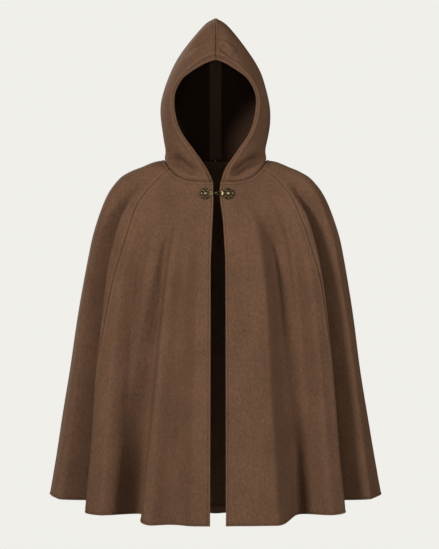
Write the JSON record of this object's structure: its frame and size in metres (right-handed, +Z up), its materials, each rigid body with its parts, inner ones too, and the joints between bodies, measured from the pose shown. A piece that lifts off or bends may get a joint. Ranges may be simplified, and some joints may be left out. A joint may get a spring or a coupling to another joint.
{
  "type": "hooded cape",
  "caption": "Short hooded wool cape in a worn, hollow pose, hood up, open down the front below a brass filigree hook clasp at the neck.",
  "frame": {"origin": "middle of the neck between the shoulders, at the height of the shoulder line, where the cape rests on its wearer", "axes": "+Z up, the front of the cape faces -Y, +X is the right-hand side as seen from the front"},
  "size_m": [0.7293, 0.4619, 1.111],
  "materials": {
    "front_left_wool": "brushed brown wool coating, left front",
    "front_right_wool": "brushed brown wool coating, right front",
    "side_left_wool": "brushed brown wool coating, left shoulder panel",
    "side_right_wool": "brushed brown wool coating, right shoulder panel",
    "back_wool": "brushed brown wool coating, back",
    "hood_left_wool": "brushed brown wool coating, hood",
    "hood_right_wool": "brushed brown wool coating, hood",
    "neck_tape_twill": "brown cotton tape over the neck seam",
    "hood_tape_twill": "brown cotton tape over the hood's back seam",
    "hook_brass": "antiqued brass filigree with a hook",
    "eye_brass": "antiqued brass filigree with an eye"
  },
  "bodies": {
    "root": {"front_left": "front_left_wool", "front_right": "front_right_wool", "side_left": "side_left_wool", "side_right": "side_right_wool", "back": "back_wool", "hood_left": "hood_left_wool", "hood_right": "hood_right_wool", "neck_tape": "neck_tape_twill", "hood_seam_tape": "hood_tape_twill", "clasp_hook": "hook_brass", "clasp_eye": "eye_brass"}
  },
  "joints": []
}
